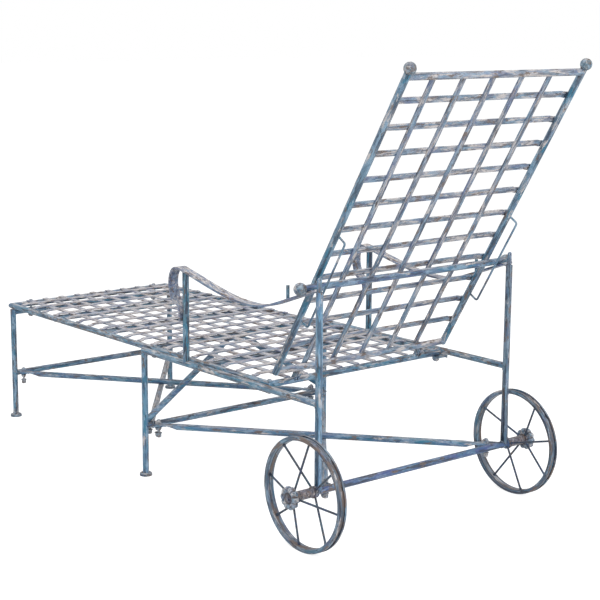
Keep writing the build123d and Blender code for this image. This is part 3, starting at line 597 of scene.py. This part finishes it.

# ---- Seat panel
# Steel tube frame with four cross tubes and a lattice of flat straps welded on top, rubbed pale
# where a cushion lies, with painted light making the faces that point up paler still.

finish_nodes(rail_paint, "seat_rail_left", "seat_rail_right")
finish_nodes(bar_paint, "seat_foot_tube", "seat_rear_tube", "seat_cross_tubes")
seat_long_paint = rubbed_paint(
    "seat_long_paint", along="X", blue=(162, 168, 186), shift=15.9,
    navy=0.5, teal=0.3, light=0.4, brown=0.5, dark=0.35, pale=0.95, top=0.95,
)
seat_cross_paint = rubbed_paint(
    "seat_cross_paint", along="Y", blue=(162, 168, 188), shift=17.1,
    navy=0.55, teal=0.3, light=0.4, brown=0.5, dark=0.35, pale=0.95, top=0.95,
)
finish_nodes(seat_long_paint, "seat_long_straps")
finish_nodes(seat_cross_paint, "seat_cross_straps")

row_pitch, rows_per_tube, seat_tubes = 0.06, 4, 4
rail_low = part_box("seat_rail_left")[0]
panel_joints = []
for side in inward:
    rail = middle("seat_rail_" + side)
    for tube in range(1, seat_tubes + 1):
        along_rail = rail_low[0] + tube_radius + tube * rows_per_tube * row_pitch
        panel_joints.append(((along_rail, rail.y, rail.z), inward[side], ahead))
stamp("seat_weld_beads", "frame", bead_tree, weld_paint, panel_joints)

# ---- Backrest
# Two steel rails with turned ball finials, a tube at each end and a lattice of straps welded on
# the front. A bent wire behind each rail makes the loop that the prop bar slides in.

back_tilt = (0, math.radians(58.8), 0)
back_rail_paint = rubbed_paint(
    "back_rail_paint", turn=back_tilt, along="X", blue=(106, 137, 160), shift=18.7,
    navy=0.25, teal=0.8, light=0.5, brown=0.6, dark=0.7, pale=0.45, top=0.4,
)
back_long_paint = rubbed_paint(
    "back_long_paint", turn=back_tilt, along="X", blue=(126, 140, 162), shift=19.9,
    navy=0.45, teal=0.4, light=0.5, brown=0.6, dark=0.7, pale=0.7, top=0.4,
)
back_cross_paint = rubbed_paint(
    "back_cross_paint", along="Y", blue=(132, 146, 168), shift=21.3,
    navy=0.4, teal=0.4, light=0.5, brown=0.6, dark=0.6, pale=0.8, top=0.4,
)
finish_nodes(back_rail_paint, "back_rail_left", "back_rail_right")
finish_nodes(back_rail_paint, "slide_loop_left", "slide_loop_right")
finish_nodes(back_long_paint, "back_long_straps")
finish_nodes(back_cross_paint, "back_cross_straps", "back_top_tube", "back_bottom_tube")
finial_paint = rubbed_paint(
    "finial_paint", along="", blue=(112, 126, 136), shift=22.7,
    navy=0.3, teal=0.4, light=0.5, brown=0.6, dark=0.6, pale=0.55, top=0.4,
)
finish_nodes(finial_paint, "finial_left", "finial_right")

# ---- Prop bar
# Loose steel tube with a turned ball on each end, which slides in the wire loops and lies on the
# arms behind the back.

prop_paint = rubbed_paint(
    "prop_paint", along="Y", blue=(92, 120, 150), shift=24.1,
    navy=0.5, teal=0.6, light=0.5, brown=0.4, dark=0.7, pale=0.4, top=0.45,
)
finish_nodes(prop_paint, "prop_bar")
finish_nodes(finial_paint, "bar_ball_left", "bar_ball_right")

# ---- Wheels
# Rolled steel rims on eight thin spokes each, with a turned hub barrel. Each spoke is brazed into
# a small ferrule at the rim, and a cast flower closes the hub.

spoke_paint = rubbed_paint(
    "spoke_paint", along="", blue=(46, 56, 72), shift=26.9,
    navy=0.3, teal=0.2, light=0.1, brown=0.2, dark=0.4, pale=0.0, top=0.0,
)
hub_paint = rubbed_paint(
    "hub_paint", along="", blue=(118, 108, 110), shift=28.1,
    navy=0.3, teal=0.1, light=0.2, brown=1.0, dark=0.9, pale=0.4, top=0.25,
)
flower_paint = rubbed_paint(
    "flower_paint", along="", blue=(124, 140, 158), shift=29.7,
    navy=0.35, teal=0.3, light=0.5, brown=0.4, dark=0.7, pale=0.7, top=0.3, hollow_shade=0.85,
)
wheel_radius = 0.13
for side in ("left", "right"):
    rim_paint = rubbed_paint(
        "rim_paint_" + side,
        blue=(80, 98, 118),
        navy=0.3,
        teal=0.5,
        light=0.5,
        brown=1.0,
        dark=1.0,
        pale=0.45,
        top=0.3,
        shift=25.3 if side == "left" else 31.1,
        hoop=(middle("wheel_rim_" + side), wheel_radius),
    )
    finish_nodes(rim_paint, "wheel_rim_" + side)
    finish_nodes(spoke_paint, "wheel_spokes_" + side)
    finish_nodes(hub_paint, "wheel_hub_" + side, "stub_axle_" + side)
    finish_nodes(flower_paint, "wheel_rosette_" + side)


def ferrule_shape(tree, entry):
    """Short sleeve with its far end at the point."""
    length = entry["Ferrule Length"]
    tube = {"Vertices": 14, "Radius": entry["Ferrule Radius"], "Depth": length}
    sleeve = node(tree, "GeometryNodeMeshCylinder", **tube).outputs["Mesh"]
    offset = node(tree, "ShaderNodeCombineXYZ", Z=combine(tree, "MULTIPLY", length, -0.5)).outputs[0]
    return node(tree, "GeometryNodeTransform", Geometry=sleeve, Translation=offset).outputs[0]


ferrule_sizes = {"Ferrule Radius": 0.0032, "Ferrule Length": 0.005}
ferrule_tree = stamp_tree("ferrule", ferrule_sizes, ferrule_shape)
spoke_count = 8
# The right wheel stands 24 degrees round from the left one
spoke_turn = {"left": math.radians(-8), "right": math.radians(-32)}
rim_inside, collar_in, hub_radius, ferrule_sink = 0.120, 0.003, 0.011, 0.001
for side in ("left", "right"):
    rim_middle = middle("wheel_rim_" + side)
    hub_low, hub_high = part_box("wheel_hub_" + side)
    ends = (hub_low[1] + collar_in, hub_high[1] - collar_in)
    outer, inner = ends if side == "left" else reversed(ends)
    ferrules = []
    for spoke in range(spoke_count):
        turn = spoke_turn[side] + spoke * math.tau / spoke_count
        ray = Vector((math.cos(turn), 0, math.sin(turn)))
        collar = outer if spoke % 2 == 0 else inner
        foot = Vector((rim_middle.x, collar, rim_middle.z)) + ray * hub_radius
        tip = rim_middle + ray * (rim_inside + ferrule_sink)
        ferrules.append((tuple(tip), tuple((tip - foot).normalized()), (0, 1, 0)))
    stamp("spoke_ferrules_" + side, "wheel_" + side, ferrule_tree, spoke_paint, ferrules)

# The flower has ten lobes round a dished face, over a plain back, and its cap hides the end of
# the axle.

lobes, lobe_radius, lobe_reach = 10, 0.0072, 0.0198
flower_profile = (
    # share of the lobed outline, depth from the back, how far the lobes show
    (0.30, 0.0, 0.0),
    (0.62, 0.0, 0.3),
    (0.86, 0.0006, 0.9),
    (0.955, 0.0022, 1.0),
    (0.985, 0.0045, 1.0),
    (0.93, 0.0064, 1.0),
    (0.93, 0.0078, 1.0),
    (0.985, 0.0098, 1.0),
    (0.95, 0.0124, 1.0),
    (0.86, 0.0146, 1.0),
    (0.74, 0.0157, 0.8),
    (0.62, 0.0154, 0.5),
    (0.52, 0.0138, 0.25),
    (0.44, 0.0112, 0.1),
    (0.34, 0.0104, 0.0),
    (0.24, 0.0104, 0.0),
    (0.215, 0.0112, 0.0),
    (0.20, 0.0128, 0.0),
    (0.13, 0.0138, 0.0),
    (0.05, 0.0141, 0.0),
)
around = 160
full_reach = lobe_reach + lobe_radius
lobe_back = 0.3
dish_inner, dish_outer, dish_height = 0.18, 0.46, 0.01


def lobed_reach(swing):
    """Reach of the lobed outline at an angle from the middle of a lobe."""
    across = lobe_reach * math.sin(swing)
    return lobe_reach * math.cos(swing) + math.sqrt(lobe_radius**2 - across**2)


for side, outward in (("left", -1), ("right", 1)):
    low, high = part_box("wheel_rosette_" + side)
    back = high[1] if side == "left" else low[1]
    axle = middle("wheel_rosette_" + side)
    points, faces, hollow = [], [], []
    for share, depth, lobed in flower_profile:
        for step in range(around):
            turn = step * math.tau / around
            off = (turn * lobes / math.tau + 0.5) % 1 - 0.5
            edge = lobed_reach(off * math.tau / lobes)
            reach = share * (full_reach + lobed * (edge - full_reach))
            ahead_by, up_by = reach * math.cos(turn), reach * math.sin(turn)
            points.append((axle.x + ahead_by, back + outward * depth, axle.z + up_by))
            # Lobe gaps and the dish round the cap are marked for painted shade
            between = max(0.0, (abs(off) - lobe_back) / (0.5 - lobe_back)) * lobed
            dished = 1.0 if dish_inner < share < dish_outer and depth > dish_height else 0.0
            hollow.append(max(between, dished))
    rings = len(flower_profile)
    for ring in range(rings - 1):
        for step in range(around):
            here, there = ring * around + step, ring * around + (step + 1) % around
            faces.append((here, there, there + around, here + around))
    faces.append(tuple(range(around)))
    faces.append(tuple(range((rings - 1) * around, rings * around)))
    mesh = bpy.data.meshes.new("flower_" + side)
    mesh.from_pydata(points, [], faces)
    mesh.attributes.new("hollow", "FLOAT", "POINT").data.foreach_set("value", hollow)
    form = bmesh.new()
    form.from_mesh(mesh)
    bmesh.ops.recalc_face_normals(form, faces=form.faces)
    form.to_mesh(mesh)
    form.free()
    mesh.polygons.foreach_set("use_smooth", [True] * len(mesh.polygons))
    mesh.materials.append(flower_paint)
    flower = hang("hub_flower_" + side, mesh, "wheel_" + side)
    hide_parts("wheel_rosette_" + side)

# ---- Stage, lights and camera
# A plain white floor under soft lamps and an even white surround, with the camera low beside the
# head end.


def seen_directly(tree):
    """1 for the camera and for mirror rays, 0 for the light that falls on the pieces."""
    ray = node(tree, "ShaderNodeLightPath").outputs
    return combine(tree, "MAXIMUM", ray["Is Camera Ray"], ray["Is Glossy Ray"])


white = bpy.data.materials.new("studio_white")
white.use_nodes = True
tree = white.node_tree
tree.nodes.clear()
floor_glow = combine(tree, "MULTIPLY", seen_directly(tree), 0.79)
glow = node(tree, "ShaderNodeEmission", Strength=floor_glow)
matte = node(tree, "ShaderNodeBsdfDiffuse", Color=(0.6, 0.6, 0.6, 1))
both = node(tree, "ShaderNodeAddShader", _0=matte.outputs[0], _1=glow.outputs[0])
node(tree, "ShaderNodeOutputMaterial", Surface=both.outputs[0])
bpy.ops.mesh.primitive_plane_add(size=60)
floor = bpy.context.object
floor.name = "studio_floor"
floor.data.materials.append(white)

world = bpy.data.worlds.new("studio")
bpy.context.scene.world = world
world.use_nodes = True
tree = world.node_tree
tree.nodes.clear()
fill_level, backdrop_level = 0.42, 1.0
level = node(
    tree, "ShaderNodeMapRange", Value=seen_directly(tree), To_Min=fill_level, To_Max=backdrop_level
)
sky = node(tree, "ShaderNodeBackground", Color=(1, 1, 1, 1), Strength=level.outputs[0])
node(tree, "ShaderNodeOutputWorld", Surface=sky.outputs[0])


def softbox(name, place, aim, size, power):
    """Round lamp at a place, turned to aim at a point."""
    lamp = bpy.data.lights.new(name, "AREA")
    lamp.shape = "DISK"
    lamp.size = size
    lamp.energy = power
    holder = bpy.data.objects.new(name, lamp)
    holder.location = place
    holder.rotation_euler = (Vector(aim) - Vector(place)).to_track_quat("-Z", "Y").to_euler()
    bpy.context.scene.collection.objects.link(holder)


softbox("key_softbox", place=(2.6, -2.6, 2.4), aim=(0.2, 0, 0.5), size=2.4, power=52)
softbox("head_softbox", place=(3.4, 0.8, 0.9), aim=(0.4, 0, 0.6), size=2.0, power=34)
softbox("top_softbox", place=(-0.6, -0.8, 3.4), aim=(-0.2, 0, 0.3), size=2.4, power=44)

azimuth, elevation, roll = math.radians(50.41), math.radians(10.71), math.radians(0.36)
lens = bpy.data.cameras.new("view")
lens.lens = 89.72
lens.sensor_width = 36
lens.clip_end = 100
camera = bpy.data.objects.new("view", lens)
camera.location = (2.9844, -2.3362, 1.1523)
level_look = Vector((-math.sin(azimuth), math.cos(azimuth), 0)) * math.cos(elevation)
look = level_look - Vector((0, 0, math.sin(elevation)))
camera.rotation_euler = look.to_track_quat("-Z", "Y").to_euler()
camera.rotation_euler.rotate_axis("Z", roll)
bpy.context.scene.collection.objects.link(camera)
bpy.context.scene.camera = camera
bpy.context.scene.view_settings.view_transform = "Standard"
